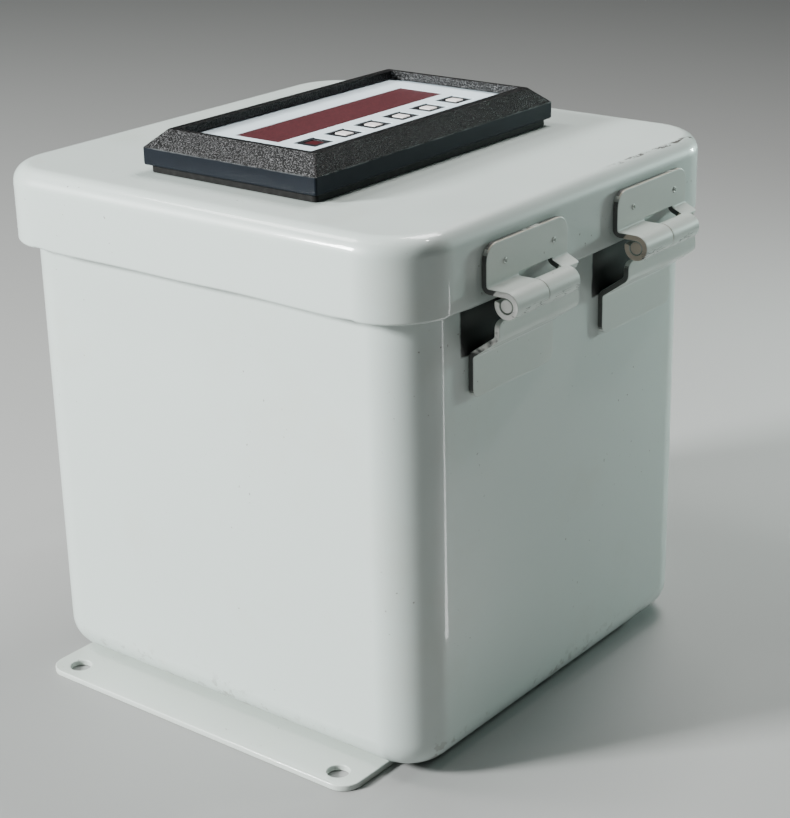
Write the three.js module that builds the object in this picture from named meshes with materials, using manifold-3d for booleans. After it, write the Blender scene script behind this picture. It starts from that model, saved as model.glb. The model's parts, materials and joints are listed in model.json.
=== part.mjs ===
// Hinged sheet-steel control box with a digital panel meter in its lid.
// Millimetres, +Z up out of the lid. +X runs along the meter's reading direction, the hinges are on
// the -Y side, and the origin is at the middle of the footprint, on the plane the feet stand on.
import * as THREE from 'three';
import { mergeVertices } from 'three/addons/utils/BufferGeometryUtils.js';
import Module from 'manifold-3d';

const wasm = await Module();
wasm.setup();

// ---------------------------------------------------------------- driving dimensions
const GAP = 0.3;                 // clearance left between pieces that touch

const lid = { w: 205, l: 205, top: 210.5, flange: 29.5, corner: 25, edge: 7, t: 1.9 };
const body = { w: 189, l: 193.4, floor: 2.8, rim: 203.5, corner: 20, edge: 13, t: 1.9 };
const foot = { reach: 110.8, w: 42, l: 160.4, t: 2.5, corner: 8, shift: 4.1,
  holeX: 102.3, holePitch: 138, holeR: 4.25 };

const lidSeal = { outside: 6, inside: 8, corner: 8 };

const hinge = { lefts: [-62.5, 21.2], axisY: -113, axisZ: 182.1, leafW: 50, t: 2.2, pinR: 2.5,
  rollR: 2.75, knuckleL: 19.2, knuckleGap: 0.3, leafTop: 20, leafLow: -36.6, topCorner: 6,
  lowCorner: 4, stepCorner: 3, innerBend: 3, outerBend: 0.8, pinEdge: 0.3 };
const ear = { from: 1.6, tipU: -1.9, tipV: 4.4 };
const step = { crease: -20.6, shoulder: -12, tilt: 36 };
const rollOut = hinge.rollR + hinge.t;

const meter = { x: -4, y: -1, w: 147.6, l: 84.5, skirt: 6.5, rise: 12.9, slopeX: 7.6, slopeY: 6.5,
  openX: 128.3, openY: 64.4, recess: 3.8, cutW: 133, cutL: 69, cutCorner: 2, corner: 1.5, depth: 88 };
const gasketT = 2.5;
const bezelZ = lid.top + gasketT + 2 * GAP;
const plateTop = bezelZ + meter.rise - meter.recess;
const plateT = 1.3;

const win = { w: 101.3, l: 21.4, x: -1.8 - meter.x, y: 6.8 - meter.y };
const keys = { count: 5, pitch: 17.35, padW: 10.6, padL: 9.7, capW: 6, capL: 7.3, y: -14.7 - meter.y,
  ledX: -44.6 - meter.x, ledW: 5.8, corner: 1.4, travel: 0.5 };

const clamp = { xs: [-50, 50], pivotZ: 155, arm: 44.5, w: 12, t: 2.5, armY: 107.4, lip: 3.6,
  blockW: 16, blockCorner: 3, boreR: 3.3 };
const screw = { r: 3, reach: 9, washerR: 6.2, washerT: 1.2, headR: 5.4, headH: 5.2, slotW: 1.4, slotL: 14 };
const ledge = { z: 196, w: 14, t: 2, drop: 12 };
const gland = { z: 52, tip: 117.95, sealR: 4.6, boreR: 6, barrelR: 9.8, hexR: 14, collar: 5,
  threadOut: 11, threadIn: 9, gripR: 13.4, gripL: 8, capR: 12.2 };
const panel = { w: 150, l: 150, z: 20, t: 2, corner: 4, studPitch: 130, studR: 2.5, studUp: 9 };
const nut = { r: 4.6, h: 4 };
const strip = { ways: 8, pitch: 10, l: 24, base: 8, wallT: 1.6, top: 13, screwR: 2.8, row: 6, y: 20 };
const earth = { r: 4.4, side: 2.2, topR: 3.6, h: 3.4, x: -50, y: -45 };
const boardZ = lid.top - 3;      // face of the display board's copper side

// ---------------------------------------------------------------- materials
const finish = (color, roughness, metalness = 0) =>
  new THREE.MeshStandardMaterial({ color, roughness, metalness });
const paint = () => finish(0xc3c9c3, 0.42);
const steel = () => finish(0xb4b6b8, 0.35, 1);
const blackPlastic = () => finish(0x17191b, 0.55);
const rubber = () => finish(0x1b1b1c, 0.9);
const board = () => finish(0x1f5a36, 0.5);

const scene = new THREE.Group();
const lidGroup = new THREE.Group();
scene.add(lidGroup);

// Welds a geometry's vertices, drops its slivers and turns its faces outwards.
function welded(geometry) {
  const bare = new THREE.BufferGeometry();
  bare.setAttribute('position', geometry.getAttribute('position').clone());
  if (geometry.index) bare.setIndex(geometry.index);
  const merged = mergeVertices(bare, 1e-4);
  const position = merged.getAttribute('position');
  const corners = [0, 1, 2].map(() => new THREE.Vector3());
  const index = [];
  let volume = 0;
  for (let i = 0; i < merged.index.count; i += 3) {
    const face = [0, 1, 2].map((k) => merged.index.getX(i + k));
    if (new Set(face).size < 3) continue;
    corners.forEach((corner, k) => corner.fromBufferAttribute(position, face[k]));
    volume += corners[0].dot(corners[1].clone().cross(corners[2]));
    index.push(...face);
  }
  merged.setIndex(volume < 0 ? index.reverse() : index);
  return merged;
}

function put(parent, name, geometry, material, place = [0, 0, 0]) {
  const mesh = new THREE.Mesh(welded(geometry), material);
  mesh.name = name;
  mesh.position.set(...place);
  parent.add(mesh);
  return mesh;
}

// ---------------------------------------------------------------- outlines and solids
function roundedLoop(w, l, r, steps = 8) {
  const points = [];
  const centres = [[1, 1, 0], [-1, 1, 1], [-1, -1, 2], [1, -1, 3]];
  for (const [sx, sy, quarter] of centres) {
    for (let i = 0; i <= steps; i++) {
      const a = (quarter + i / steps) * Math.PI / 2;
      points.push(new THREE.Vector2(sx * (w / 2 - r) + r * Math.cos(a),
        sy * (l / 2 - r) + r * Math.sin(a)));
    }
  }
  return points;
}

function circleLoop(r, steps = 24, x = 0, y = 0) {
  return Array.from({ length: steps }, (_, i) => {
    const a = 2 * Math.PI * i / steps;
    return new THREE.Vector2(x + r * Math.cos(a), y + r * Math.sin(a));
  });
}

function arc(cx, cy, r, fromDeg, toDeg, steps) {
  return Array.from({ length: steps + 1 }, (_, i) => {
    const a = THREE.MathUtils.degToRad(fromDeg + (toDeg - fromDeg) * i / steps);
    return new THREE.Vector2(cx + r * Math.cos(a), cy + r * Math.sin(a));
  });
}

const moved = (loop, x, y) => loop.map((p) => new THREE.Vector2(p.x + x, p.y + y));

// An outline in XY, with holes, extruded from z0 up to z1.
function slab(outline, z0, z1, holes = []) {
  const shape = new THREE.Shape(outline);
  shape.holes = holes.map((hole) => new THREE.Path(hole));
  const geometry = new THREE.ExtrudeGeometry(shape, { depth: z1 - z0, bevelEnabled: false });
  return geometry.translate(0, 0, z0);
}

// A YZ profile extruded along X. The profile's first axis is Y and its second is Z.
function alongX(profile, x0, x1) {
  const geometry = slab(profile, x0, x1);
  const m = new THREE.Matrix4().makeBasis(new THREE.Vector3(0, 1, 0),
    new THREE.Vector3(0, 0, 1), new THREE.Vector3(1, 0, 0));
  return geometry.applyMatrix4(m);
}

// An XZ outline extruded along Y from y0 to y1.
function alongY(outline, y0, y1) {
  return slab(outline, -y1, -y0).rotateX(Math.PI / 2);
}

// A turned solid whose axis is Y. Its profile is radius, height.
function turnedY(profile, steps = 24) {
  return new THREE.LatheGeometry(profile.map(([r, y]) => new THREE.Vector2(r, y)), steps);
}

// A round rod along Y.
const rod = (r, y0, y1) => turnedY([[0, y0], [r, y0], [r, y1], [0, y1]]);

// A turned solid whose axis is Z.
const turnedZ = (profile, steps = 24) => turnedY(profile, steps).rotateX(Math.PI / 2);

const rect = (w, l, x = 0, y = 0) => [[-1, -1], [1, -1], [1, 1], [-1, 1]]
  .map(([sx, sy]) => new THREE.Vector2(x + sx * w / 2, y + sy * l / 2));

const block = (w, l, h, x = 0, y = 0, z = 0) =>
  new THREE.BoxGeometry(w, l, h).translate(x, y, z + h / 2);

// A closed skin through stacked loops of equal length, closed by a fan at each end.
function loft(rings) {
  const n = rings[0].length;
  const position = rings.flatMap((ring) => ring.flatMap((p) => [p.x, p.y, p.z]));
  const index = [];
  for (let k = 0; k + 1 < rings.length; k++) {
    for (let i = 0; i < n; i++) {
      const [a, b] = [k * n + i, k * n + (i + 1) % n];
      index.push(a, b, b + n, a, b + n, a + n);
    }
  }
  const ends = [[0, 1], [rings.length - 1, 0]];
  for (const [ring, bottom] of ends) {
    const centre = position.length / 3;
    position.push(0, 0, rings[ring][0].z);
    for (let i = 0; i < n; i++) {
      const [a, b] = [ring * n + i, ring * n + (i + 1) % n];
      index.push(...(bottom ? [centre, b, a] : [centre, a, b]));
    }
  }
  const geometry = new THREE.BufferGeometry();
  geometry.setAttribute('position', new THREE.Float32BufferAttribute(position, 3));
  geometry.setIndex(index);
  return geometry;
}

// A deep-drawn tray, open at the top: its outer skin, then its inner skin, in one closed solid.
function tray({ w, l, h, corner, edge, t }, edgeSteps = 6) {
  const ring = (inset, z) => roundedLoop(w - 2 * inset, l - 2 * inset, corner - inset)
    .map((p) => new THREE.Vector3(p.x, p.y, z));
  const rings = [];
  for (let i = 0; i <= edgeSteps; i++) {
    const a = i / edgeSteps * Math.PI / 2;
    rings.push(ring(edge * (1 - Math.sin(a)), edge * (1 - Math.cos(a))));
  }
  rings.push(ring(0, h), ring(t, h));
  const inner = edge - t;
  for (let i = edgeSteps; i >= 0; i--) {
    const a = i / edgeSteps * Math.PI / 2;
    rings.push(ring(t + inner * (1 - Math.sin(a)), t + inner * (1 - Math.cos(a))));
  }
  return loft(rings);
}

// ---------------------------------------------------------------- joining and cutting
function toSolid(geometry) {
  const { attributes, index } = welded(geometry);
  return new wasm.Manifold(new wasm.Mesh({
    numProp: 3,
    vertProperties: new Float32Array(attributes.position.array),
    triVerts: new Uint32Array(index.array),
  }));
}

function toGeometry(solid) {
  const mesh = solid.getMesh();
  const geometry = new THREE.BufferGeometry();
  geometry.setAttribute('position', new THREE.BufferAttribute(mesh.vertProperties, 3));
  geometry.setIndex(new THREE.BufferAttribute(mesh.triVerts, 1));
  return geometry;
}

function combine(base, joins = [], cuts = []) {
  let solid = toSolid(base);
  for (const join of joins) solid = solid.add(toSolid(join));
  for (const cut of cuts) solid = solid.subtract(toSolid(cut));
  return toGeometry(solid);
}

// ---------------------------------------------------------------- enclosure
const bodyWallY = body.l / 2;
const corners = [[1, 1], [-1, 1], [-1, -1], [1, -1]];

function bodyShell() {
  const h = body.rim - body.floor;
  const shell = tray({ ...body, h }).translate(0, 0, body.floor);
  const half = panel.studPitch / 2;
  const studs = corners.map(([sx, sy]) => slab(circleLoop(panel.studR, 16, sx * half, sy * half),
    body.floor + 1, panel.z + panel.studUp));
  const entryR = gland.barrelR + GAP;
  const [y0, y1] = [bodyWallY - 8, bodyWallY + 8];
  const entry = turnedY([[0, y0], [entryR, y0], [entryR, y1], [0, y1]], 32).translate(0, 0, gland.z);
  return combine(shell, studs, [entry]);
}

function mountingFoot(side) {
  const middle = foot.reach - foot.w / 2;
  const hole = (end) => circleLoop(foot.holeR, 24, foot.holeX - middle, end * foot.holePitch / 2);
  const plate = slab(roundedLoop(foot.w, foot.l, foot.corner, 6), 0, foot.t, [hole(1), hole(-1)]);
  if (side < 0) plate.rotateZ(Math.PI);
  return plate.translate(side * middle, foot.shift, 0);
}

function lidShell() {
  const { w, l, corner, edge, t } = lid;
  const shell = tray({ w, l, h: lid.flange, corner, edge, t }).rotateX(Math.PI)
    .translate(0, 0, lid.top);
  const cutout = slab(moved(roundedLoop(meter.cutW, meter.cutL, meter.cutCorner, 3), meter.x, meter.y),
    lid.top - 10, lid.top + 5);
  return combine(shell, [], [cutout]);
}

function lidGasket() {
  const [out, inside] = [2 * (lid.t + lidSeal.outside), 2 * lidSeal.inside];
  const outer = roundedLoop(lid.w - out, lid.l - out, lid.corner - lidSeal.corner);
  const inner = roundedLoop(body.w - inside, body.l - inside, body.corner - lidSeal.corner);
  return slab(outer, body.rim + GAP, lid.top - lid.t - GAP, [inner]);
}

put(scene, 'body_shell', bodyShell(), paint());
put(scene, 'mounting_foot_left', mountingFoot(-1), paint());
put(scene, 'mounting_foot_right', mountingFoot(1), paint());
put(lidGroup, 'lid_shell', lidShell(), paint());
put(lidGroup, 'lid_gasket', lidGasket(), rubber());

// ---------------------------------------------------------------- hinges
// Profiles are drawn about the pin axis: u points out of the hinge side (-Y), v points up.
const hingeProfile = (points) => points.map((p) => new THREE.Vector2(-p.x, p.y)).reverse();
const lidFaceU = lid.l / 2 - Math.abs(hinge.axisY);
const bodyFaceU = bodyWallY - Math.abs(hinge.axisY);

function lidLeafProfile(top) {
  const back = lidFaceU + GAP;
  const front = back + hinge.t;
  const { rollR, innerBend, outerBend } = hinge;
  return [
    new THREE.Vector2(front, top),
    new THREE.Vector2(back, top),
    ...arc(back + innerBend, rollR + innerBend, innerBend, 180, 270, 4),
    ...arc(0, 0, rollR, 90, -195, 26),
    ...arc(0, 0, rollOut, -195, 90, 26),
    ...arc(front + outerBend, rollOut + outerBend, outerBend, 270, 180, 3),
  ];
}

function lidLeaf() {
  const back = lidFaceU + GAP;
  const front = back + hinge.t;
  const low = rollOut + 1;
  const { leafW, leafTop, knuckleL, topCorner, t } = hinge;
  const outline = [
    new THREE.Vector2(0, low), new THREE.Vector2(leafW, low),
    ...arc(leafW - topCorner, leafTop - topCorner, topCorner, 0, 90, 5),
    ...arc(topCorner, leafTop - topCorner, topCorner, 90, 180, 5),
  ];
  const plate = alongY(outline, -front, -back);
  const roll = alongX(hingeProfile(lidLeafProfile(low + 2)), 0, knuckleL);
  const flap = alongX(hingeProfile([
    new THREE.Vector2(back, low + 0.6), new THREE.Vector2(back, low - 0.8),
    new THREE.Vector2(ear.tipU, ear.tipV - t), new THREE.Vector2(ear.tipU, ear.tipV),
    new THREE.Vector2(front, low + 0.6),
  ]), 2 * knuckleL + ear.from, leafW);
  return combine(plate, [roll, flap]);
}

// The body's leaf steps outwards past the lid's flange, then rolls round the pin.
function bodyLeaf() {
  const back = bodyFaceU + GAP;
  const front = back + hinge.t;
  const { leafW, leafLow, knuckleL, knuckleGap, lowCorner } = hinge;
  const { crease, shoulder } = step;
  const riserOut = -hinge.rollR;
  const riserIn = -rollOut;
  const rise = (riserIn - back) * Math.tan(THREE.MathUtils.degToRad(step.tilt));
  const wall = [
    new THREE.Vector2(front, leafLow + 8), new THREE.Vector2(front, crease),
    new THREE.Vector2(riserOut - 0.6, crease + rise - 0.4), new THREE.Vector2(riserOut, shoulder + 1),
  ];
  const inside = [
    new THREE.Vector2(riserIn, shoulder + 2.2), new THREE.Vector2(riserIn - 0.8, shoulder + 0.6),
    new THREE.Vector2(back, crease + 1), new THREE.Vector2(back, leafLow + 8),
  ];
  const top = -rollOut - 1.1;
  const riser = alongX(hingeProfile([...wall, new THREE.Vector2(riserOut, top),
    new THREE.Vector2(riserIn, top), ...inside]), 0, leafW);
  const knuckle = alongX(hingeProfile([
    new THREE.Vector2(riserOut, top - 2), ...arc(0, 0, hinge.rollR, 180, -112, 26),
    ...arc(0, 0, rollOut, -112, 180, 26), new THREE.Vector2(riserIn, top - 2),
  ]), knuckleL + knuckleGap, 2 * knuckleL + knuckleGap);
  const outline = [
    new THREE.Vector2(leafW, leafLow + 10), new THREE.Vector2(0, leafLow + 10),
    ...arc(lowCorner, leafLow + lowCorner, lowCorner, 180, 270, 4),
    ...arc(leafW - lowCorner, leafLow + lowCorner, lowCorner, 270, 360, 4),
  ];
  const flat = alongY(outline, -front, -back);
  return combine(riser, [knuckle, flat], [false, true].map((far) => cornerCut(far, top)));
}

// Rounds the step's upper corner at one end of the leaf.
function cornerCut(far, top) {
  const r = hinge.stepCorner;
  const side = [
    new THREE.Vector2(-1, top + 1), new THREE.Vector2(-1, top - r),
    ...arc(r, top - r, r, 180, 90, 4), new THREE.Vector2(r, top + 1),
  ];
  const outline = far ? side.map((p) => new THREE.Vector2(hinge.leafW - p.x, p.y)).reverse() : side;
  return alongY(outline, rollOut - 4, rollOut + 2);
}

hinge.lefts.forEach((left, i) => {
  const n = i + 1;
  const place = [left, hinge.axisY, hinge.axisZ];
  put(scene, `body_leaf_${n}`, bodyLeaf(), paint(), place);
  put(lidGroup, `lid_leaf_${n}`, lidLeaf(), paint(), place);
  const { pinR, pinEdge, knuckleL } = hinge;
  const pinL = 2 * knuckleL - 0.2;
  const pin = turnedY([[0, 0], [pinR - pinEdge, 0], [pinR, pinEdge], [pinR, pinL - pinEdge],
    [pinR - pinEdge, pinL], [0, pinL]], 24).rotateZ(-Math.PI / 2);
  put(scene, `hinge_pin_${n}`, pin, steel(), [left + 0.2, hinge.axisY, hinge.axisZ]);
});

// ---------------------------------------------------------------- lid clamps
const clampBlockOut = clamp.armY - GAP - 0.1;

function clampArm() {
  const r = clamp.w / 2;
  const outline = [...arc(0, 0, r, 0, 180, 12),
    new THREE.Vector2(-r, -clamp.arm), new THREE.Vector2(r, -clamp.arm)];
  const plate = alongY(outline, 0, clamp.t);
  const lip = block(clamp.w, clamp.lip + 1, clamp.t, 0, (1 - clamp.lip) / 2, -clamp.arm);
  return combine(plate, [lip], [rod(clamp.boreR, -1, clamp.t + 1)]);
}

function clampBlock() {
  const y0 = bodyWallY + GAP;
  const outline = roundedLoop(clamp.blockW, clamp.blockW, clamp.blockCorner, 4);
  return combine(alongY(outline, y0, clampBlockOut), [], [rod(clamp.boreR, y0 + 2, clampBlockOut + 1)]);
}

function clampScrew() {
  const seat = clamp.armY + clamp.t + GAP;
  const { headR, headH, slotW, slotL } = screw;
  const shank = rod(screw.r, seat - screw.reach, seat + 1);
  const washer = rod(screw.washerR, seat, seat + screw.washerT);
  const head = turnedY([[0, seat + 1], [headR, seat + 1], [headR, seat + headH - 0.6],
    [headR - 0.8, seat + headH], [0, seat + headH]], 6);
  const slot = block(slotW, 2, slotL, 0, seat + headH, -slotL / 2);
  return combine(shank, [washer, head], [slot]);
}

function keeper() {
  const [y0, y1] = [lid.l / 2 + GAP, clamp.armY - 2 * GAP];
  const { z, t, drop } = ledge;
  const profile = [[y0, z - drop], [y0 + t, z - drop], [y0 + t, z - t], [y1, z - t], [y1, z], [y0, z]];
  return alongX(profile.map(([y, up]) => new THREE.Vector2(y, up)), -ledge.w / 2, ledge.w / 2);
}

clamp.xs.forEach((x, i) => {
  const n = i + 1;
  put(scene, `clamp_block_${n}`, clampBlock(), paint(), [x, 0, clamp.pivotZ]);
  put(scene, `clamp_screw_${n}`, clampScrew(), steel(), [x, 0, clamp.pivotZ]);
  put(scene, `clamp_arm_${n}`, clampArm(), steel(), [x, clamp.armY, clamp.pivotZ]);
  put(lidGroup, `keeper_${n}`, keeper(), paint(), [x, 0, 0]);
});

// ---------------------------------------------------------------- cable gland
const wallOut = bodyWallY + GAP;
const wallIn = bodyWallY - body.t - GAP;

function hexRing(y0, y1, hexR, boreR) {
  const bevel = 0.8;
  const hex = turnedY([[0, y0], [hexR - bevel, y0], [hexR, y0 + bevel], [hexR, y1 - bevel],
    [hexR - bevel, y1], [0, y1]], 6);
  return combine(hex, [], [rod(boreR, y0 - 1, y1 + 1)]);
}

function glandBody() {
  const { boreR, barrelR, hexR, collar, threadIn, threadOut } = gland;
  const [y0, y1] = [wallIn - threadIn, wallOut + threadOut];
  const barrel = turnedY([[boreR, y0], [barrelR, y0], [barrelR, y1], [boreR, y1], [boreR, y0]], 32);
  return combine(hexRing(wallOut, wallOut + collar, hexR, boreR), [barrel]);
}

function glandCap() {
  const { sealR, barrelR, capR, collar, threadOut, gripR, gripL, tip } = gland;
  const y0 = wallOut + collar + GAP;
  const [mouthR, socketR] = [sealR + 0.6, barrelR + GAP];
  const dome = turnedY([[mouthR, tip], [8.4, tip], [11, tip - 2.4], [capR, tip - 5], [capR, y0],
    [socketR, y0], [socketR, wallOut + threadOut + 0.4], [mouthR, wallOut + threadOut + 2.6],
    [mouthR, tip]], 32);
  return combine(dome, [hexRing(y0, y0 + gripL, gripR, socketR)]);
}

function glandSeal() {
  const [r0, r1] = [gland.sealR, gland.boreR - GAP];
  const [y0, y1] = [wallOut - 2, wallOut + gland.threadOut - 0.4];
  return turnedY([[r0, y0], [r1, y0], [r1, y1], [r0, y1], [r0, y0]]);
}

const atGland = [0, 0, gland.z];
put(scene, 'gland_body', glandBody(), blackPlastic(), atGland);
put(scene, 'gland_cap', glandCap(), blackPlastic(), atGland);
put(scene, 'gland_seal', glandSeal(), rubber(), atGland);
put(scene, 'gland_locknut', hexRing(wallIn - gland.collar, wallIn, gland.hexR, gland.barrelR + GAP),
  blackPlastic(), atGland);

// ---------------------------------------------------------------- back panel inside the box
const panelTop = panel.z + panel.t;

function backPanel() {
  const half = panel.studPitch / 2;
  const holes = corners.map(([sx, sy]) => circleLoop(panel.studR + 0.5, 16, sx * half, sy * half));
  return slab(roundedLoop(panel.w, panel.l, panel.corner, 3), panel.z, panelTop, holes);
}

function terminalStrip() {
  const { ways, pitch, l, base, wallT, top, screwR, row } = strip;
  const walls = Array.from({ length: ways + 1 }, (_, i) => block(wallT, l, top, (i - ways / 2) * pitch));
  const screws = Array.from({ length: 2 * ways }, (_, i) => slab(circleLoop(screwR, 8,
    (i % ways - (ways - 1) / 2) * pitch, i < ways ? -row : row), base - 1, base + 2));
  return combine(block(ways * pitch + 4, l, base), [...walls, ...screws]);
}

put(scene, 'back_panel', backPanel(), finish(0xd7d8d6, 0.5));
corners.forEach(([sx, sy], i) => {
  const half = panel.studPitch / 2;
  put(scene, `panel_nut_${i + 1}`, slab(circleLoop(nut.r, 6), 0, nut.h,
    [circleLoop(panel.studR + GAP, 16)]), steel(), [sx * half, sy * half, panelTop + GAP]);
});
put(scene, 'terminal_strip', terminalStrip(), blackPlastic(), [0, strip.y, panelTop + GAP]);
put(scene, 'ground_screw', turnedZ([[0, 0], [earth.r, 0], [earth.r, earth.side], [earth.topR, earth.h],
  [0, earth.h]], 16), finish(0x3d8a4c, 0.4, 0.6), [earth.x, earth.y, panelTop + GAP]);

// ---------------------------------------------------------------- panel meter: front
const meterGroup = new THREE.Group();
meterGroup.position.set(meter.x, meter.y, 0);
lidGroup.add(meterGroup);

function bezel() {
  const { w, l, slopeX, slopeY, corner, cutCorner } = meter;
  const edge = 0.4;
  const ring = (cut, r, z) => roundedLoop(w - 2 * cut[0], l - 2 * cut[1], r, 2)
    .map((p) => new THREE.Vector3(p.x, p.y, z));
  const outer = loft([
    ring([edge, edge], corner - edge, bezelZ), ring([0, 0], corner, bezelZ + edge),
    ring([0, 0], corner, bezelZ + meter.skirt), ring([slopeX, slopeY], corner, bezelZ + meter.rise),
  ]);
  const opening = slab(roundedLoop(meter.openX, meter.openY, corner, 3), bezelZ, bezelZ + 20);
  const cavity = slab(roundedLoop(meter.cutW + 0.4, meter.cutL + 0.4, cutCorner, 3), bezelZ - 1,
    plateTop + GAP);
  return combine(outer, [], [opening, cavity]);
}

const keyX = Array.from({ length: keys.count }, (_, i) => keys.ledX + (i + 1) * keys.pitch);
const rowX = [keys.ledX, ...keyX];

function facePlate() {
  const holes = [rect(win.w, win.l, win.x, win.y),
    ...rowX.map((x) => rect(keys.padW, keys.padL, x, keys.y))];
  const plate = slab(roundedLoop(meter.cutW - 0.4, meter.cutL - 0.4, meter.cutCorner, 3),
    plateTop - plateT, plateTop);
  return combine(plate, [], holes.map((hole) => slab(hole, plateTop - 3, plateTop + 1)));
}

const stem = { w: 3, l: 6.5 };

// The black key surround stands behind the face plate and shows through its square holes.
function keySurround() {
  const top = plateTop - 0.1;
  const low = plateTop - plateT - GAP;
  const middle = (rowX[0] + rowX.at(-1)) / 2;
  const strip = slab(rect(rowX.at(-1) - rowX[0] + 16, 14, middle, keys.y), low - 1.5, low);
  const pads = rowX.map((x) => slab(rect(keys.padW - 0.4, keys.padL - 0.4, x, keys.y), low - 1, top));
  const cuts = keyX.map((x) => slab(rect(keys.capW + 0.6, keys.capL + 0.6, x, keys.y),
    low - 3, top + 1));
  cuts.push(slab(rect(keys.ledW + 0.4, keys.ledW + 0.4, keys.ledX, keys.y), low - 3, top + 1));
  return combine(strip, pads, cuts);
}

function keyCap() {
  const { capW, capL, corner } = keys;
  const at = (inset, z) => roundedLoop(capW - 2 * inset, capL - 2 * inset, corner - inset, 3)
    .map((p) => new THREE.Vector3(p.x, p.y, z));
  const cap = loft([at(0, -3), at(0, 0), at(0.3, 0.3), at(0.7, 0.4)]);
  return combine(cap, [block(stem.w, stem.w, 5, 0, 0, -stem.l)]);
}

put(meterGroup, 'bezel', bezel(), blackPlastic());
put(meterGroup, 'bezel_gasket', slab(roundedLoop(meter.w - 3.6, meter.l - 3.6, meter.corner, 3),
  lid.top + GAP, lid.top + GAP + gasketT,
  [roundedLoop(meter.cutW + 1, meter.cutL + 1, meter.cutCorner, 3)]), rubber());
put(meterGroup, 'face_plate', facePlate(), finish(0xdfe6ea, 0.4));
put(meterGroup, 'display_window', slab(rect(win.w - 0.3, win.l - 0.3), 0, 1.5),
  finish(0x5a1a1d, 0.2), [win.x, win.y, plateTop - 1.6]);
put(meterGroup, 'led_window', slab(rect(keys.ledW, keys.ledW), 0, 1.2), finish(0x3d0d10, 0.25),
  [keys.ledX, keys.y, plateTop - 1.5]);
put(meterGroup, 'key_surround', keySurround(), blackPlastic());
keyX.forEach((x, i) => put(meterGroup, `key_${i + 1}`, keyCap(), finish(0xe6e2e0, 0.45),
  [x, keys.y, plateTop]));

// ---------------------------------------------------------------- panel meter: inside
const caseW = meter.cutW - 1.6;
const caseL = meter.cutL - 1.6;
const caseTop = plateTop - plateT - GAP;
const caseFloor = lid.top - meter.depth;
const boardT = 1.6;
const boardTop = boardZ + boardT;

const port = { w: 112, l: 18, y: -16 };
const rear = { ways: 14, pitch: 7.6, l: 16.5, h: 14, down: 6 };
const core = { w: 34, l: 14, h: 28 };
const coil = { w: 20, l: 22, h: 20 };
const bracket = { z: 172, l: 16, h: 34, t: 2, lugW: 9, lugH: 6, boreR: 2.1 };
const jack = { low: 160, headR: 3.6, headH: 3, r: 1.8 };
const jackX = caseW / 2 + 6;

function meterCase() {
  const wall = 2;
  const outer = slab(roundedLoop(caseW, caseL, 3, 3), caseFloor, caseTop);
  const hollow = slab(roundedLoop(caseW - 2 * wall, caseL - 2 * wall, 1.5, 3), caseFloor + wall,
    caseTop + 5);
  return combine(outer, [], [hollow, block(port.w, port.l, 10, 0, port.y, caseFloor - 4)]);
}

function rearTerminals() {
  const { ways, pitch, l, h, down } = rear;
  const entries = Array.from({ length: ways }, (_, i) =>
    block(4.4, 4, 8, (i - (ways - 1) / 2) * pitch, -3.4, -down - 2));
  return combine(block(ways * pitch + 2, l, h, 0, 0, -down), [], entries);
}

function powerTransformer() {
  return combine(block(core.w, core.l, core.h, 0, 0, -core.h / 2),
    [block(coil.w, coil.l, coil.h, 0, 0, -coil.h / 2)]);
}

function caseClamp(side) {
  const { z, l, h, t, lugW, lugH, boreR } = bracket;
  const wall = block(t, l, h, side * (caseW / 2 + 1.3), 0, z);
  const lug = block(lugW, l, lugH, side * (caseW / 2 + 5.3), 0, z);
  const hole = slab(circleLoop(boreR, 16, side * jackX, 0), z - 2, z + lugH + 2);
  return combine(wall, [lug], [hole]);
}

function jackScrew() {
  const { low, headR, headH, r } = jack;
  const tip = lid.top - lid.t - GAP;
  return turnedZ([[0, low], [headR, low], [headR, low + headH], [r, low + headH + 0.4], [r, tip],
    [0, tip]], 16);
}

put(meterGroup, 'meter_case', meterCase(), blackPlastic());
put(meterGroup, 'display_board', block(caseW - 6, caseL - 6, boardT, 0, 0, boardZ), board());
const digits = { w: 25, l: 19, h: 9 };
for (let i = 0; i < 3; i++) {
  put(meterGroup, `digit_module_${i + 1}`, block(digits.w, digits.l, digits.h), finish(0x26201f, 0.4),
    [win.x + (i - 1) * (digits.w + GAP), win.y, boardTop + GAP]);
}
put(meterGroup, 'status_led', turnedZ([[0, 0], [2.9, 0], [2.9, 1], [2.5, 1], [2.5, 6.2], [1.8, 8],
  [0, 8.6]], 16), finish(0x8c1418, 0.3), [keys.ledX, keys.y, boardTop + GAP]);
const button = { w: 6.2, h: 3.6, plungerR: 1.7 };
keyX.forEach((x, i) => {
  const low = boardTop + GAP;
  const plungerTop = plateTop - stem.l - keys.travel - GAP;
  put(meterGroup, `switch_${i + 1}`, combine(block(button.w, button.w, button.h), [
    slab(circleLoop(button.plungerR, 12), 3, plungerTop - low)]), blackPlastic(), [x, keys.y, low]);
});
put(meterGroup, 'main_board', block(caseW - 12, boardT, boardZ - caseFloor - 10, 0, 10,
  caseFloor + 6), board());
put(meterGroup, 'power_transformer', powerTransformer(), finish(0x4b4a45, 0.6, 0.3),
  [30, -4, bracket.z]);
put(meterGroup, 'rear_terminals', rearTerminals(), finish(0x2b6b45, 0.5), [0, port.y, caseFloor]);
[-1, 1].forEach((side, i) => {
  const name = ['left', 'right'][i];
  put(meterGroup, `case_clamp_${name}`, caseClamp(side), finish(0x8d9194, 0.5, 1));
  put(meterGroup, `jack_screw_${name}`, jackScrew(), steel(), [side * jackX, 0, 0]);
});

export default scene;
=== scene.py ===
import json
import math

import bmesh
import bpy
from mathutils import Matrix, Vector
from mathutils.geometry import tessellate_polygon


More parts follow.
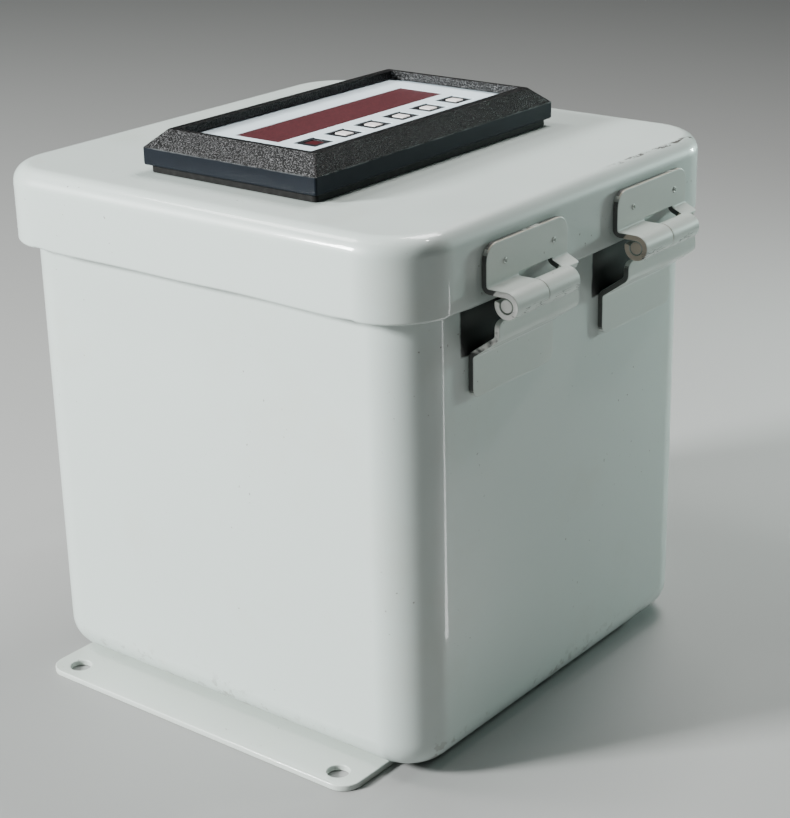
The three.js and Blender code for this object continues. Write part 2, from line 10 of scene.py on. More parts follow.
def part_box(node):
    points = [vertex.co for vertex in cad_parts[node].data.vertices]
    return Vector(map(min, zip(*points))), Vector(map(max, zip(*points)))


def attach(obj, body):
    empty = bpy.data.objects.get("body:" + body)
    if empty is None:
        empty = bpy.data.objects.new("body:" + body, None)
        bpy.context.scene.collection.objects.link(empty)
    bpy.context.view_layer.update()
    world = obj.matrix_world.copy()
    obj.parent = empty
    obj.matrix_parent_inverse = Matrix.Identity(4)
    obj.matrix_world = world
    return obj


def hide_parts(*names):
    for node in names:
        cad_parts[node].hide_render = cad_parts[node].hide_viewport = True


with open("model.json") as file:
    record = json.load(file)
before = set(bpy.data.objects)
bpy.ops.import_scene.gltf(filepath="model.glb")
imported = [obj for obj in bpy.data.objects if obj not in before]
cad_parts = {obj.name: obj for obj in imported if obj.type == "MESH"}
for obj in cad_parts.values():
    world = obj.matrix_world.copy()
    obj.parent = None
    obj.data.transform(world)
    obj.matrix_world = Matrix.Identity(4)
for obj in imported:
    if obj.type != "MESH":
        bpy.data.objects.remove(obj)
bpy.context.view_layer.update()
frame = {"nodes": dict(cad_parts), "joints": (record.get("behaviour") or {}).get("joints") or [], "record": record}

MM = 0.001
record = frame["record"]
BODY_OF = {node: body for body, nodes in record["behaviour"]["bodies"].items() for node in nodes}


def span(node):
    """A node's lowest and highest corner, in millimetres."""
    low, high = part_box(node)
    return low / MM, high / MM


def middle(node):
    low, high = span(node)
    return (low + high) / 2


HINGE = Vector(next(joint for joint in frame["joints"] if joint["name"] == "lid_hinge")["pos_m"])


# ---------------------------------------------------------------- camera
CAMERA = {"azimuth": -51.52, "elevation": 21.23, "roll": -1.27, "distance": 0.8102, "lens": 84.36}
TARGET = Vector((0.0217, 0.0029, 0.0923))


def make_camera():
    a, e = math.radians(CAMERA["azimuth"]), math.radians(CAMERA["elevation"])
    back = Vector((math.sin(a) * math.cos(e), -math.cos(a) * math.cos(e), math.sin(e)))
    side = Vector((0, 0, 1)).cross(back).normalized()
    up = back.cross(side)
    turn = math.radians(CAMERA["roll"])
    right = side * math.cos(turn) + up * math.sin(turn)
    top = up * math.cos(turn) - side * math.sin(turn)
    data = bpy.data.cameras.new("camera")
    data.lens = CAMERA["lens"]
    data.clip_start, data.clip_end = 0.05, 50
    camera = bpy.data.objects.new("camera", data)
    matrix = Matrix((right, top, back)).transposed().to_4x4()
    matrix.translation = TARGET + back * CAMERA["distance"]
    camera.matrix_world = matrix
    bpy.context.scene.collection.objects.link(camera)
    bpy.context.scene.camera = camera


make_camera()


# ---------------------------------------------------------------- materials
class Look:
    """A material and its nodes. Textures run in the model's own frame, so they move with a piece."""

    def __init__(self, name, color, roughness, metallic=0.0, coat=0.0, coat_roughness=0.12):
        self.material = bpy.data.materials.new(name)
        self.material.use_nodes = True
        self.tree = self.material.node_tree
        self.shader = self.tree.nodes["Principled BSDF"]
        self.shader.inputs["Base Color"].default_value = (*color, 1)
        self.shader.inputs["Roughness"].default_value = roughness
        self.shader.inputs["Metallic"].default_value = metallic
        self.shader.inputs["Coat Weight"].default_value = coat
        self.shader.inputs["Coat Roughness"].default_value = coat_roughness
        self.place = self.add("ShaderNodeTexCoord").outputs["Object"]

    def add(self, kind, inputs=None, **settings):
        node = self.tree.nodes.new(kind)
        for key, value in settings.items():
            setattr(node, key, value)
        for key, value in (inputs or {}).items():
            if isinstance(value, bpy.types.NodeSocket):
                self.tree.links.new(value, node.inputs[key])
            else:
                node.inputs[key].default_value = value
        return node

    def stretched(self, x, y, z):
        node = self.add("ShaderNodeVectorMath", {0: self.place, 1: (x, y, z)}, operation="MULTIPLY")
        return node.outputs[0]

    def noise(self, scale, detail=2.0, roughness=0.5, place=None):
        node = self.add("ShaderNodeTexNoise", {
            "Vector": place or self.place, "Scale": scale, "Detail": detail, "Roughness": roughness})
        return node.outputs["Fac"]

    def cells(self, scale, place=None, feature="F1"):
        node = self.add("ShaderNodeTexVoronoi", {"Vector": place or self.place, "Scale": scale},
                        feature=feature)
        return node.outputs["Distance"]

    def between(self, value, low, high, to_low=0.0, to_high=1.0):
        node = self.add("ShaderNodeMapRange", {
            "Value": value, "From Min": low, "From Max": high, "To Min": to_low, "To Max": to_high})
        return node.outputs["Result"]

    def math(self, operation, a, b=0.0):
        return self.add("ShaderNodeMath", {0: a, 1: b}, operation=operation).outputs[0]

    def times(self, *values):
        result = values[0]
        for value in values[1:]:
            result = self.math("MULTIPLY", result, value)
        return result

    def axis(self, letter):
        node = self.add("ShaderNodeSeparateXYZ", {0: self.place})
        return node.outputs[letter]

    def facing(self, x=0.0, y=0.0, z=0.0):
        """How far the surface faces a direction of the model's frame, from -1 to 1."""
        normal = self.add("ShaderNodeNewGeometry").outputs["True Normal"]
        return self.add("ShaderNodeVectorMath", {0: normal, 1: (x, y, z)},
                        operation="DOT_PRODUCT").outputs["Value"]

    def mix(self, factor, a, b):
        node = self.add("ShaderNodeMix", {0: factor, 6: a, 7: b}, data_type="RGBA")
        return node.outputs[2]

    def bump(self, height, strength, distance, normal=None):
        inputs = {"Height": height, "Strength": strength, "Distance": distance}
        if normal:
            inputs["Normal"] = normal
        return self.add("ShaderNodeBump", inputs).outputs["Normal"]

    def set(self, **sockets):
        for key, output in sockets.items():
            self.tree.links.new(output, self.shader.inputs[key.replace("_", " ")])
        return self.material


def tint(color, factor):
    return (*(min(1.0, c * factor) for c in color[:3]), 1)


def enamel(name, color=(0.535, 0.60, 0.575), wear_and_painted_light=None, grime=0.3):
    """Semi-gloss enamel on drawn steel: soft mottling, faint stains, specks, fine scratches."""
    look = Look(name, color, 0.42, coat=0.55, coat_roughness=0.07)
    mottled = look.mix(look.noise(7, 4), tint(color, 0.955), tint(color, 1.03))
    stain = look.between(look.noise(19, 5, 0.6), 0.56, 0.8, 0, grime)
    stained = look.mix(stain, mottled, (0.47, 0.46, 0.39, 1))
    speck = look.between(look.noise(560, 1), 0.755, 0.79)
    rare = look.between(look.noise(23, 2), 0.5, 0.6)
    specked = look.mix(look.times(speck, rare, 0.7), stained, (0.16, 0.15, 0.13, 1))
    lines = look.between(look.cells(1, look.stretched(70, 95, 900), "DISTANCE_TO_EDGE"), 0.012, 0.0)
    rub = look.between(look.noise(31, 2), 0.6, 0.72)
    final = look.mix(look.times(lines, rub, 0.35), specked, tint(color, 0.72))
    # the paint's extra marks: real wear, and on the body and hinges also painted shade and highlight
    if wear_and_painted_light:
        final = wear_and_painted_light(look, final)
    peel = look.bump(look.noise(900, 2), 0.10, 0.00012)
    draw = look.bump(look.noise(11, 1), 0.25, 0.0022, peel)
    gloss = look.between(look.noise(33, 4), 0.25, 0.8, 0.36, 0.5)
    return look.set(Base_Color=final, Roughness=gloss, Normal=draw)


def hinge_side_chips(look, color):
    """Paint chipped away in a broken line along the lid's upper edge, on the hinge side."""
    low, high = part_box("lid_shell")
    wander = look.between(look.noise(55, 1), 0.3, 0.7, -0.0006, 0.0006)
    from_edge = look.math("SUBTRACT", look.math("ADD", look.axis("Y"), wander), low.y + 0.0048)
    line = look.between(look.math("ABSOLUTE", from_edge), 0.0009, 0.0004)
    top = look.between(look.axis("Z"), high.z - 0.0025, high.z - 0.0015)
    along = look.between(look.axis("X"), 0.022, 0.045)
    dashes = look.between(look.noise(1, 3, 0.7, look.stretched(260, 900, 0)), 0.48, 0.52)
    runs = look.between(look.noise(1, 1, 0.5, look.stretched(42, 0, 0)), 0.36, 0.44)
    worn_and_painted_light = look.mix(look.times(line, top, along, dashes, runs), color, (0.05, 0.042, 0.036, 1))
    corner = look.times(look.between(look.axis("X"), high.x - 0.013, high.x - 0.009),
                        look.between(look.math("ABSOLUTE", from_edge), 0.003, 0.0015), top,
                        look.between(look.noise(330, 3), 0.5, 0.54))
    return look.mix(corner, worn_and_painted_light, (0.06, 0.05, 0.045, 1))


def lower_edge_scuffs(look, color):
    """Scuffs where the box's bottom edge has scraped."""
    low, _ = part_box("body_shell")
    band = look.between(look.axis("Z"), low.z + 0.016, low.z + 0.004)
    ragged = look.between(look.noise(170, 5, 0.7), 0.55, 0.60)
    runs = look.between(look.noise(38, 2), 0.46, 0.56)
    return look.mix(look.times(band, ragged, runs, 0.8), color, (0.2, 0.185, 0.165, 1))


def about_axis(look):
    """How far up and how far inwards a point is from the hinges' axis."""
    return (look.math("SUBTRACT", look.axis("Z"), HINGE.z),
            look.math("SUBTRACT", look.axis("Y"), HINGE.y))


def scuffs_and_hinge_shade(look, color):
    """Scuffs along the box's bottom edge, and painted black shadow on the wall behind the hinges."""
    shade_low, half_width, shift = -0.0212, 0.0262, 0.0035   # from the axis, and about a leaf's middle
    wander = look.between(look.noise(140, 3), 0.3, 0.7, -0.0004, 0.0004)
    up, inwards = about_axis(look)
    up = look.math("ADD", up, wander)
    lid_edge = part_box("lid_shell")[0].z - HINGE.z
    wall = look.times(look.between(up, shade_low, shade_low + 0.0008),
                      look.between(up, lid_edge + 0.001, lid_edge),
                      look.between(look.facing(y=-1), 0.6, 0.8), look.between(inwards, 0.05, 0.04))
    final = lower_edge_scuffs(look, color)
    for leaf in ("lid_leaf_1", "lid_leaf_2"):
        low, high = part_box(leaf)
        across = look.math("ADD", look.axis("X"), wander)
        centre = (low.x + high.x) / 2 - shift
        from_centre = look.math("ABSOLUTE", look.math("SUBTRACT", across, centre))
        behind = look.between(from_centre, half_width, half_width - 0.001)
        # painted shadow: near black on the wall behind each hinge, where the hinge shades it
        final = look.mix(look.times(wall, behind, 0.97), final, (0.004, 0.004, 0.004, 1))
    return final


def hinge_scratches_and_painted_light(look, color):
    """Painted light on the hinges: their -X facing ends (rolled knuckles, pins, risers) painted pale as a
    highlight on the first hinge and tan as half-shade on the second, the cut leaf edges painted black as
    shadow, the lid leaves' tops painted with a highlight and a dark shadow line where they meet the lid,
    dark scratches under the knuckles, and painted shade in the body leaves' crease."""
    up, out = about_axis(look)
    reach = look.math("SQRT", look.math("ADD", look.math("MULTIPLY", up, up),
                                        look.math("MULTIPLY", out, out)))
    near_hinge = look.between(look.axis("X"), 0.0, -0.001)
    # painted highlight: pale ends where the key light falls on the first hinge
    white = look.mix(look.noise(260, 3), (0.95, 0.95, 0.92, 1), (0.84, 0.84, 0.79, 1))
    # painted half-shade: tan ends on the second hinge, which the key light only half reaches
    tan = look.mix(look.noise(260, 3), (0.56, 0.47, 0.38, 1), (0.44, 0.36, 0.28, 1))
    lit_ends = look.mix(near_hinge, tan, white)
    # painted shadow: near black on the cut leaf edges that face -X
    edge_shadow = look.mix(look.noise(300, 3), (0.004, 0.004, 0.004, 1), (0.022, 0.024, 0.022, 1))
    rolled = look.between(reach, 0.0064, 0.0059)
    riser = look.times(look.between(up, -0.0195, -0.0185), look.between(up, -0.0045, -0.0055),
                       near_hinge, look.between(look.noise(240, 2), 0.3, 0.5))
    # faces towards -X, which take the painted highlight and the painted shadow
    ends = look.between(look.facing(x=-1), 0.8, 0.95)
    edge = look.mix(look.math("MAXIMUM", rolled, riser), edge_shadow, lit_ends)
    worn_and_painted_light = look.mix(look.math("MULTIPLY", ends, 0.9), color, edge)
    # painted highlight on the outer part of the lid leaves' top faces, and a painted dark shadow line on the inner
    # part where they meet the lid
    top = look.times(look.between(look.facing(z=1), 0.5, 0.8), look.between(up, 0.010, 0.012))
    lit_top_and_joint_shade = look.mix(look.between(out, 0.0084, 0.0089), (0.50, 0.45, 0.37, 1), (0.03, 0.03, 0.028, 1))
    worn_and_painted_light = look.mix(look.times(top, look.between(look.noise(120, 2), 0.3, 0.45)), worn_and_painted_light, lit_top_and_joint_shade)
    under = look.between(look.math("ABSOLUTE", look.math("ADD", up, 0.0028)), 0.0026, 0.0014)
    outside = look.between(out, -0.0022, -0.0028)
    slanted = look.add("ShaderNodeMapping", {"Vector": look.place, "Rotation": (0, math.radians(38), 0),
                                             "Scale": (150, 200, 1300)}).outputs[0]
    lines = look.between(look.cells(1, slanted, "DISTANCE_TO_EDGE"), 0.09, 0.03)
    patches = look.between(look.noise(210, 2), 0.44, 0.52)
    scratched = look.mix(look.times(lines, patches, under, outside), worn_and_painted_light, (0.05, 0.052, 0.048, 1))
    # painted shade: a dark line along the body leaves' lower bend
    crease = look.math("ABSOLUTE", look.math("ADD", up, 0.0202))
    shaded = look.times(look.between(crease, 0.0007, 0.0002),
                        look.between(look.noise(90, 2), 0.35, 0.5), 0.6)
    return look.mix(shaded, scratched, (0.07, 0.075, 0.07, 1))


def plated_steel(name, color=(0.60, 0.60, 0.57)):
    look = Look(name, color, 0.32, 1.0)
    cloudy = look.mix(look.noise(160, 4), tint(color, 0.8), tint(color, 1.08))
    brushed = look.noise(1, 3, 0.6, look.stretched(240, 2600, 2600))
    rough = look.between(brushed, 0.2, 0.8, 0.24, 0.44)
    return look.set(Base_Color=cloudy, Roughness=rough,
                    Normal=look.bump(brushed, 0.15, 0.00008))


def bezel_grain(name, low_z):
    """Black moulded plastic with a fine spark-eroded grain, its crests painted pale on the -X side as a painted
    highlight where the key light falls. Below low_z the moulding is smooth and slightly blue."""
    color, grain_scale = (0.0068, 0.0067, 0.0070), 2000
    look = Look(name, color, 0.34)
    grain = look.noise(grain_scale, 1, 0.5)
    pits = look.cells(grain_scale * 0.8)
    height = look.math("ADD", look.between(grain, 0.35, 0.65), look.math("MULTIPLY", pits, 0.8))
    crest = look.between(height, 0.92, 1.22)
    # the -X side, which faces the key light: its crests get a painted highlight and more sheen
    key_lit_side = look.between(look.facing(x=-1), 0.2, 0.6)
    grained = look.mix(crest, tint(color, 0.5),
                       look.mix(key_lit_side, tint(color, 2.0), tint(color, 9.5)))
    rough = look.between(grain, 0.3, 0.7, 0.40, 0.28)
    sheen = look.math("MULTIPLY", look.between(crest, 0, 1, 0.10, 0.38),
                      look.between(key_lit_side, 0, 1, 0.3, 1.0))
    upper = look.between(look.axis("Z"), low_z - 0.0001, low_z + 0.0001)
    from_line = look.math("ABSOLUTE", look.math("SUBTRACT", look.axis("Z"), low_z))
    rubbed_line = look.times(look.between(from_line, 0.0003, 0.0001),
                             look.between(look.noise(170, 3), 0.4, 0.6), 0.6)
    smooth = look.mix(look.noise(140, 3), (0.0070, 0.0090, 0.0125, 1), (0.0105, 0.0135, 0.019, 1))
    tone = look.mix(rubbed_line, look.mix(upper, smooth, grained), (0.11, 0.115, 0.12, 1))
    return look.set(Base_Color=tone, Roughness=rough,
                    Specular_IOR_Level=look.math("ADD", look.times(sheen, upper), 0.06),
                    Normal=look.bump(look.times(height, upper), 0.8, 0.00025))


def smooth_plastic(name, color, roughness=0.4, coat=0.0):
    look = Look(name, color, roughness, coat=coat)
    tone = look.mix(look.noise(120, 3), tint(color, 0.92), tint(color, 1.05))
    rough = look.between(look.noise(90, 3), 0.2, 0.8, roughness * 0.85, roughness * 1.15)
    return look.set(Base_Color=tone, Roughness=rough,
                    Normal=look.bump(look.noise(1500, 2), 0.08, 0.0001))


def key_plastic(name):
    """A white key cap, black below the printed face."""
    look = Look(name, (0.74, 0.70, 0.69), 0.45)
    face_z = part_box("face_plate")[1].z
    white = look.mix(look.noise(400, 3), (0.78, 0.74, 0.73, 1), (0.68, 0.64, 0.63, 1))
    rim = look.between(look.axis("Z"), face_z - 0.00035, face_z - 0.00025)
    return look.set(Base_Color=look.mix(rim, (0.008, 0.008, 0.010, 1), white),
                    Normal=look.bump(look.noise(1500, 2), 0.08, 0.0001))


def rubber(name):
    color = (0.0075, 0.0072, 0.0070)
    look = Look(name, color, 0.85)
    look.shader.inputs["Specular IOR Level"].default_value = 0.25
    dusty = look.mix(look.between(look.noise(420, 4), 0.45, 0.75), tint(color, 0.8), tint(color, 2.2))
    return look.set(Base_Color=dusty, Normal=look.bump(look.noise(1300, 3), 0.3, 0.0002))


def filter_window(name, color=(0.085, 0.021, 0.026)):
    """Dark red display filter: a fine mesh pattern under a glossy face."""
    look = Look(name, color, 0.32, coat=0.35)
    mesh = look.cells(1, look.stretched(1500, 1500, 40))
    tone = look.mix(look.between(mesh, 0.1, 0.7), tint(color, 1.5), tint(color, 0.75))
    dust = look.between(look.noise(900, 2), 0.68, 0.78, 0, 0.5)
    return look.set(Base_Color=look.mix(dust, tone, (0.42, 0.12, 0.10, 1)),
                    Normal=look.bump(look.noise(60, 2), 0.05, 0.001))


def circuit_board(name):
    """Solder mask over copper tracks."""
    color = (0.02, 0.13, 0.055)
    look = Look(name, color, 0.35, coat=0.3)
    tracks = look.add("ShaderNodeTexBrick", {
        "Vector": look.place, "Scale": 160.0, "Mortar Size": 0.06, "Color1": (0, 0, 0, 1),
        "Color2": (0, 0, 0, 1), "Mortar": (1, 1, 1, 1)}).outputs["Color"]
    tone = look.mix(tracks, tint(color, 0.9), (0.05, 0.26, 0.10, 1))
    return look.set(Base_Color=tone, Normal=look.bump(tracks, 0.3, 0.0001))


def laminated_iron(name):
    color = (0.12, 0.11, 0.10)
    look = Look(name, color, 0.5, 0.6)
    layers = look.noise(1, 1, 0.5, look.stretched(40, 2200, 40))
    return look.set(Base_Color=look.mix(layers, tint(color, 0.6), tint(color, 1.5)),
                    Normal=look.bump(layers, 0.5, 0.0003))


def pale_floor(name):
    color = (0.31, 0.31, 0.307)
    look = Look(name, color, 0.6)
    tone = look.mix(look.noise(3, 3), tint(color, 0.98), tint(color, 1.02))
    return look.set(Base_Color=tone)


BEZEL_SKIRT = 6.5                # height of the bezel's upright skirt
bezel_low_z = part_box("bezel")[0].z

BODY_PAINT = enamel("body enamel", wear_and_painted_light=scuffs_and_hinge_shade)
LID_PAINT = enamel("lid enamel", wear_and_painted_light=hinge_side_chips)
PART_PAINT = enamel("fittings enamel", color=(0.555, 0.60, 0.565), grime=0.45)
LEAF_PAINT = enamel("hinge enamel", color=(0.555, 0.60, 0.565), wear_and_painted_light=hinge_scratches_and_painted_light, grime=0.45)
STEEL = plated_steel("plated steel")
BEZEL_BLACK = bezel_grain("bezel grain", bezel_low_z + BEZEL_SKIRT * MM)
BLACK = smooth_plastic("black moulding", (0.02, 0.021, 0.023), 0.45)
KEY_BLACK = smooth_plastic("key surround", (0.012, 0.013, 0.016), 0.35)
RUBBER = rubber("rubber")
FACE = smooth_plastic("printed face", (0.62, 0.72, 0.78), 0.42)
WINDOW = filter_window("display filter")
LAMP_WINDOW = filter_window("lamp filter", (0.07, 0.008, 0.012))
KEY_WHITE = key_plastic("key caps")
BOARD = circuit_board("circuit board")
MODULE = smooth_plastic("digit module", (0.03, 0.02, 0.02), 0.3)
LED = smooth_plastic("lamp epoxy", (0.35, 0.02, 0.02), 0.2, coat=0.4)
IRON = laminated_iron("transformer")
CONNECTOR = smooth_plastic("connector green", (0.04, 0.22, 0.10), 0.45)
EARTH = plated_steel("earth screw", (0.10, 0.33, 0.14))
PANEL_PAINT = enamel("panel enamel", color=(0.70, 0.71, 0.69), grime=0.15)


# ---------------------------------------------------------------- mesh making
def raw(name, shape):
    """An object from millimetre points, its doubled points merged and its faces turned outwards."""
    verts, faces = shape
    mesh = bpy.data.meshes.new(name)
    mesh.from_pydata([Vector(v) * MM for v in verts], [], faces)
    form = bmesh.new()
    form.from_mesh(mesh)
    bmesh.ops.remove_doubles(form, verts=form.verts, dist=1e-7)
    bmesh.ops.recalc_face_normals(form, faces=form.faces)
    form.to_mesh(mesh)
    form.free()
    made = bpy.data.objects.new(name, mesh)
    bpy.context.scene.collection.objects.link(made)
    return made


def cut(made, *shapes):
    """Cuts closed shapes out of an object."""
    for shape in shapes:
        tool = raw("cutter", shape)
        boolean = made.modifiers.new("cut", "BOOLEAN")
        boolean.object, boolean.operation, boolean.solver = tool, "DIFFERENCE", "EXACT"
        bpy.context.view_layer.update()
        seen = made.evaluated_get(bpy.context.evaluated_depsgraph_get())
        made.data = bpy.data.meshes.new_from_object(seen)
        made.modifiers.clear()
        bpy.data.objects.remove(tool)


def piece(name, shape, material, body, cuts=(), smooth=38):
    """A finished piece riding on a body, its flat faces shaded flat and its curves smooth."""
    made = raw(name, shape)
    cut(made, *cuts)
    made.data.shade_smooth()
    made.data.set_sharp_from_angle(angle=math.radians(smooth))
    made.data.materials.clear()
    made.data.materials.append(material)
    normals = made.modifiers.new("normals", "WEIGHTED_NORMAL")
    normals.keep_sharp = True
    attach(made, body)
    return made


def stand_in(node, shape, material, cuts=(), smooth=38):
    """A fine piece in a CAD node's place."""
    made = piece(f"{node}_fine", shape, material, BODY_OF[node], cuts, smooth)
    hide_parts(node)
    return made


def ring(w, l, r, z, arc_steps=12, side_steps=10, x=0.0, y=0.0):
    """Points round a rounded rectangle, counter-clockwise."""
    signs = [(1, 1), (-1, 1), (-1, -1), (1, -1)]
    points = []
    for quarter, (sx, sy) in enumerate(signs):
        centre = Vector((x + sx * (w / 2 - r), y + sy * (l / 2 - r), z))
        points += arc(centre, r, 90 * quarter, 90 * quarter + 90, arc_steps)
        nx, ny = signs[(quarter + 1) % 4]
        turn = math.radians(90 * quarter + 90)
        end = Vector((x + nx * (w / 2 - r) + r * math.cos(turn),
                      y + ny * (l / 2 - r) + r * math.sin(turn), z))
        start = points[-1]
        points += [start.lerp(end, i / side_steps) for i in range(1, side_steps)]
    return points


def arc(centre, r, start, end, steps):
    """Points on an arc, by angles in degrees."""
    turns = [math.radians(start + (end - start) * i / steps) for i in range(steps + 1)]
    return [Vector((centre[0] + r * math.cos(a), centre[1] + r * math.sin(a),
                    centre[2] if len(centre) > 2 else 0)) for a in turns]


def circle(r, steps=48, x=0.0, y=0.0, z=0.0):
    return arc((x, y, z), r, 0, 360, steps)[:-1]


def hexagon(r, z=0.0, per_side=8):
    """A hexagon's outline, with points along its sides. r is to its corners."""
    corners = circle(r, 6, z=z)
    return [corners[k].lerp(corners[(k + 1) % 6], i / per_side)
            for k in range(6) for i in range(per_side)]


def skin(rings, closed=False, capped=False):
    """Quads between rings of equal length, joined end to end or capped."""
    n = len(rings[0])
    verts = [p for points in rings for p in points]
    faces = []
    for k in range(len(rings) if closed else len(rings) - 1):
        a, b = k * n, (k + 1) % len(rings) * n
        faces += [(a + i, a + (i + 1) % n, b + (i + 1) % n, b + i) for i in range(n)]
    if capped:
        faces += [tuple(range(n)), tuple(range(len(verts) - n, len(verts)))]
    return verts, faces


def merged(*shapes):
    verts, faces = [], []
    for more, more_faces in shapes:
        start = len(verts)
        verts += more
        faces += [tuple(i + start for i in face) for face in more_faces]
    return verts, faces


def placed(shape, place):
    """A shape with every point moved by a function."""
    verts, faces = shape
    return [Vector(place(v)) for v in verts], faces


def inset(loop, distance):
    """A counter-clockwise loop moved inwards. A negative distance moves it outwards."""
    moved = []
    for i, p in enumerate(loop):
        before = (p - loop[i - 1]).normalized()
        after = (loop[(i + 1) % len(loop)] - p).normalized()
        both = Vector((-before.y - after.y, before.x + after.x, 0))
        moved.append(p + both * (distance * 2 / max(both.length_squared, 1.0)))
    return moved


def plate(outline, z0, z1, holes=(), edge=0.3, steps=3):
    """A flat plate whose edges are rounded, its holes' edges too."""
    turns = [math.radians(90 * i / steps) for i in range(steps + 1)]
    lower = [(edge * (1 - math.sin(a)), z0 + edge * (1 - math.cos(a))) for a in turns]
    profile = lower + [(d, z1 + z0 - z) for d, z in reversed(lower)]
    shapes, first, last = [], [], []
    for loop, way in [(outline, 1), *((hole, -1) for hole in holes)]:
        rings = [[Vector((p.x, p.y, z)) for p in inset(loop, way * d)] for d, z in profile]
        shapes.append(skin(rings))
        first.append(rings[0])
        last.append(rings[-1])
    for loops in (first, last):
        shapes.append(([p for loop in loops for p in loop], tessellate_polygon(loops)))
    return merged(*shapes)


def soft_corners(points, radius, steps=4, closed=True):
    """A path with its corners rounded."""
    points = [Vector(p) for p in points]
    out = []
    for i, p in enumerate(points):
        if not closed and i in (0, len(points) - 1):
            out.append(p)
            continue
        before, after = points[i - 1] - p, points[(i + 1) % len(points)] - p
        r = min(radius, before.length * 0.45, after.length * 0.45)
        a, b = p + before.normalized() * r, p + after.normalized() * r
        out += [a.lerp(p, k / steps).lerp(p.lerp(b, k / steps), k / steps) for k in range(steps + 1)]
    return out


def turned(profile, radius=0.3, steps=48):
    """A solid turned about Z from (radius, height) corners. It is closed if none lies on the axis."""
    closed = profile[0][0] > 0
    path = soft_corners(profile, radius, closed=closed)
    rings = [circle(max(p.x, 0.01), steps, z=p.y) for p in path]
    return skin(rings, closed=closed, capped=not closed)


def threaded(r, z0, z1, pitch, depth):
    """(radius, height) points of a screw thread's outline, as even grooves."""
    count = int((z1 - z0) / pitch)
    return [(r - depth * (k % 2), z0 + k * pitch / 2) for k in range(2 * count + 1)]


def hex_ring(z0, z1, r, bore, chamfer=0.7):
    """A nut: a hexagon with turned-off corners, and a bore."""
    flat = r * math.cos(math.pi / 6)
    rings = [circle(bore, z=z0 + 0.4), circle(bore + 0.4, z=z0), circle(flat * 0.96, z=z0),
             hexagon(r, z0 + chamfer), hexagon(r, z1 - chamfer),
             circle(flat * 0.96, z=z1), circle(bore + 0.4, z=z1), circle(bore, z=z1 - 0.4)]
    return skin(rings, closed=True)


def block(w, l, h, x=0.0, y=0.0, z=0.0, edge=0.3):
    """A block with rounded edges, standing on z."""
    return plate(ring(w, l, min(w, l) * 0.1, 0, 3, 1, x, y), z, z + h, edge=edge)


def to_y(v):
    """Turns a shape's own Z to +Y."""
    return v.x, v.z, -v.y


def moved(shape, x=0.0, y=0.0, z=0.0):
    return placed(shape, lambda v: v + Vector((x, y, z)))


def route(start, heading, runs):
    """A path in a plane, of (length, turn) runs. The result gives a point and a heading at s."""
    def at(s):
        x, y, a = *start, math.radians(heading)
        for length, turn in runs:
            step = min(s, length)
            rate = math.radians(turn) / length
            if turn:
                x += (math.sin(a + rate * step) - math.sin(a)) / rate
                y += (math.cos(a) - math.cos(a + rate * step)) / rate
            else:
                x, y = x + math.cos(a) * step, y + math.sin(a) * step
            a += rate * step
            s -= step
            if s <= 0:
                break
        return x, y, a
    return at


def bent(outline, thickness, runs, place, holes=(), edge=0.35, pitch=0.6):
    """A flat blank in (across, along), sliced where it curves, then bent.
    runs are (start, end) stretches that curve, and place takes across, along and height."""
    verts, faces = plate(outline, -thickness / 2, thickness / 2, holes, edge)
    blank = raw("blank", (verts, faces))
    form = bmesh.new()
    form.from_mesh(blank.data)
    for start, end in runs:
        count = math.ceil((end - start) / pitch)
        for k in range(count + 1):
            bmesh.ops.bisect_plane(form, geom=[*form.verts, *form.edges, *form.faces],
                                   plane_co=(0, (start + (end - start) * k / count) * MM, 0),
                                   plane_no=(0, 1, 0), dist=1e-7)
    form.verts.index_update()
    shape = ([Vector(place(*(v.co / MM))) for v in form.verts],
             [tuple(v.index for v in f.verts) for f in form.faces])
    form.free()
    bpy.data.objects.remove(blank)
    return shape


# ---------------------------------------------------------------- box
SHEET = 1.9                      # thickness of the drawn steel
BODY_CORNER, BODY_EDGE = 20.0, 13.0
LID_CORNER, LID_EDGE = 25.0, 7.0

body_low, body_high = span("body_shell")
body_size = body_high - body_low


def quarter(steps=10):
    return [math.radians(90 * i / steps) for i in range(steps + 1)]


def bowed(p):
    """The drawn walls bow out a little between their corners."""
    rise = math.sin(math.pi * min(1, max(0, (p.z - body_low.z) / body_size.z)))
    x_wall = max(0, 1 - 2 * (body_high.x - abs(p.x)) / BODY_EDGE)
    y_wall = max(0, 1 - 2 * (body_high.y - abs(p.y)) / BODY_EDGE)
    bow = 0.45 * rise
    return Vector((p.x + math.copysign(bow, p.x) * x_wall * math.cos(math.pi * p.y / body_size.y),
                   p.y + math.copysign(bow, p.y) * y_wall * math.cos(math.pi * p.x / body_size.x), p.z))


def box_shell():
    w, l = body_size.x, body_size.y
    floor, rim = body_low.z, body_high.z

    def level(inward, z):
        return ring(w - 2 * inward, l - 2 * inward, BODY_CORNER - inward, z, 16, 16)

    rings = [level(BODY_EDGE * (1 - math.sin(a)), floor + BODY_EDGE * (1 - math.cos(a)))
             for a in quarter()]
    walls = [floor + BODY_EDGE + (rim - 1 - floor - BODY_EDGE) * i / 16 for i in range(1, 17)]
    rings += [level(0, z) for z in walls]
    rings += [level(SHEET / 2 * (1 - math.cos(a)), rim - 1 + math.sin(a))
              for a in (math.radians(22.5 * k) for k in range(1, 8))]
    rings += [level(SHEET, z) for z in reversed(walls)]
    inner = BODY_EDGE - SHEET
    rings += [level(SHEET + inner * (1 - math.sin(a)), floor + SHEET + inner * (1 - math.cos(a)))
              for a in reversed(quarter())]
    return placed(skin(rings, capped=True), bowed)


